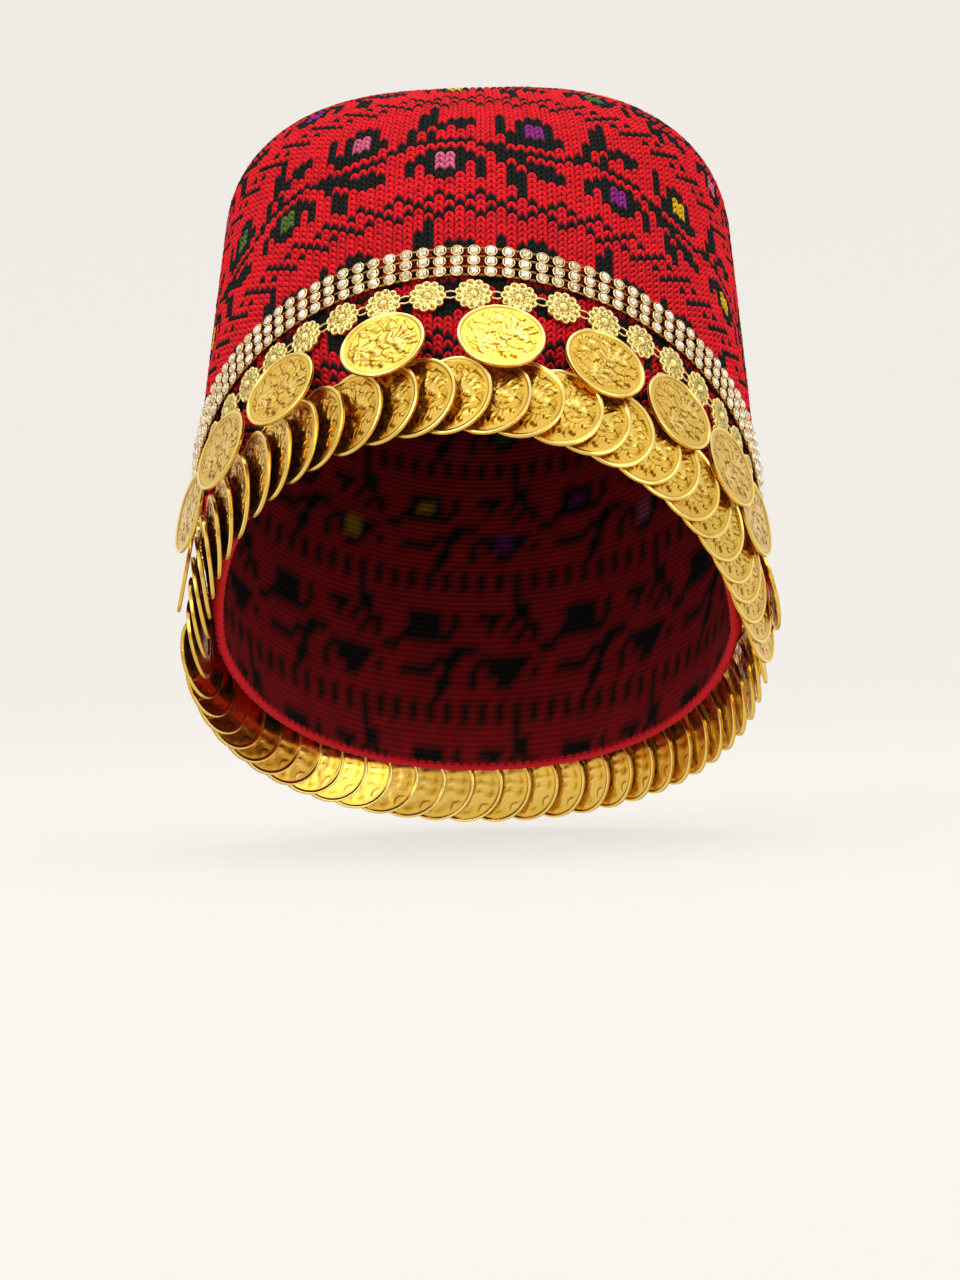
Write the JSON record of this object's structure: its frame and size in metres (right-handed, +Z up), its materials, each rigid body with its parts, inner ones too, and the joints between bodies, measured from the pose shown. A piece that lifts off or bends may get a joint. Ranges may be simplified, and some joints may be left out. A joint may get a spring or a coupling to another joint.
{
  "type": "coin headdress",
  "caption": "Knitted bucket cap worn tilted back, trimmed round its rim with a stone band, a flower chain, a row of spaced coins and a fringe of overlapping coins.",
  "frame": {"origin": "middle of the cap's rim, in the rim's plane, where the wearer's head goes in", "axes": "+Z up as worn, the front of the headdress faces -Y, +X is to the right in the picture"},
  "size_m": [0.182, 0.232, 0.2294],
  "materials": {
    "red_wool": "knitted wool, red with a black flower and diamond pattern",
    "stone_settings": "polished gilt cups that hold clear stones",
    "pale_gilt": "pale gilt stampings, satin",
    "gold_plate": "polished gold plate with a raised relief"
  },
  "bodies": {
    "root": {"knit_cap": "red_wool", "rhinestone_band": "stone_settings", "flower_chain": "pale_gilt", "coin_fringe": "gold_plate", "coin_01": "gold_plate", "coin_02": "gold_plate", "coin_03": "gold_plate", "coin_04": "gold_plate", "coin_05": "gold_plate", "coin_06": "gold_plate", "coin_07": "gold_plate", "coin_08": "gold_plate", "coin_09": "gold_plate", "coin_10": "gold_plate", "coin_11": "gold_plate", "coin_12": "gold_plate", "coin_13": "gold_plate", "coin_14": "gold_plate", "coin_15": "gold_plate", "coin_16": "gold_plate", "coin_17": "gold_plate", "coin_18": "gold_plate", "coin_19": "gold_plate"}
  },
  "joints": []
}
